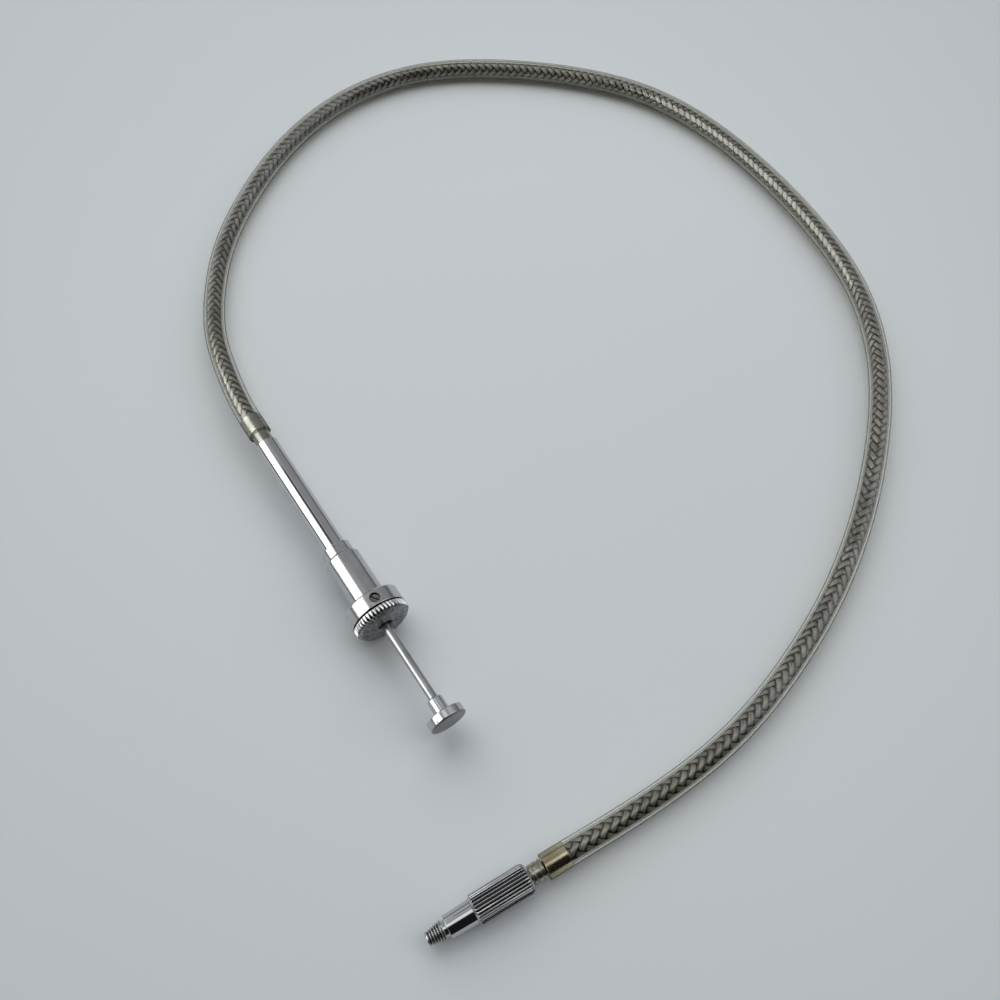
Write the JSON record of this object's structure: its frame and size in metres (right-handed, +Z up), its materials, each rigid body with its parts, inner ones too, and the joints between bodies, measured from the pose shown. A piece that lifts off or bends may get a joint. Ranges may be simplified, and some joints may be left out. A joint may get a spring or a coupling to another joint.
{
  "type": "cable shutter release",
  "caption": "Locking thumb-plunger handle on a steel-braided cable in a clear sheath, ending in a fluted grip with a conical release thread and a sliding pin.",
  "frame": {"origin": "centre of the handle's footprint on the surface it lies on, halfway between the ferrule's tail and the thumb button's face", "axes": "+X along the handle from the cable towards the thumb button, +Z up from the surface, +Y towards the inside of the cable's loop"},
  "size_m": [0.1915, 0.1662, 0.0116],
  "materials": {
    "chrome": "bright chrome plate, turned and polished, lightly worn",
    "steel": "drawn steel, satin",
    "spring_steel": "spring steel wire",
    "blasted_steel": "matt dark grey face with bright worn serrations",
    "nickel": "worn nickel plate, slightly brown",
    "brass": "aged brass",
    "braid_steel": "flat steel strands in a two-over-two herringbone braid",
    "clear_sheath": "clear vinyl tube, glossy, slightly yellowed"
  },
  "bodies": {
    "root": {"guide_bush": "brass", "lock_housing": "chrome", "lock_screw": "steel", "step_collar": "chrome", "handle_tube": "chrome", "spring_seat": "brass", "return_spring": "spring_steel", "handle_ferrule": "nickel", "cable_sheath": "clear_sheath", "cable_braid": "braid_steel", "cable_conduit": "steel", "inner_wire": "steel", "tip_ferrule": "brass", "tip_neck": "nickel"},
    "plunger": {"thumb_button": "chrome", "plunger_rod": "steel", "plunger_stop": "brass", "wire_coupling": "brass"},
    "lock_disc": {"lock_disc": "blasted_steel"},
    "lock_ball": {"lock_ball": "steel"},
    "tip_grip": {"grip_sleeve": "chrome", "threaded_nipple": "chrome"},
    "tip_pin": {"tip_pin": "steel"}
  },
  "joints": [
    {"name": "plunger_slide", "type": "slide", "parent": "root", "child": "plunger", "axis": [-1, 0, 0], "range_m": [0, 0.017], "stiffness_N_per_m": 180, "springref_m": -0.008, "deforming": ["return_spring"]},
    {"name": "tip_pin_slide", "type": "slide", "parent": "root", "child": "tip_pin", "axis": [-0.071, -0.9975, 0], "range_m": [0, 0.017]},
    {"name": "lock_disc_turn", "type": "hinge", "parent": "root", "child": "lock_disc", "pos_m": [0.0155, 0, 0.0058], "axis": [1, 0, 0], "range_deg": [0, 90]},
    {"name": "lock_ball_slide", "type": "slide", "parent": "root", "child": "lock_ball", "axis": [0, 0, -1], "range_m": [0, 0.000085]},
    {"name": "tip_swivel", "type": "hinge", "parent": "root", "child": "tip_grip", "pos_m": [0.06915, -0.00834, 0.00283], "axis": [-0.071, -0.9975, 0], "continuous": true}
  ],
  "couplings": [
    {"joint": "tip_pin_slide", "follows": "plunger_slide", "ratio": 1},
    {"joint": "lock_ball_slide", "follows": "lock_disc_turn", "m_per_rad": 0.000054113}
  ]
}
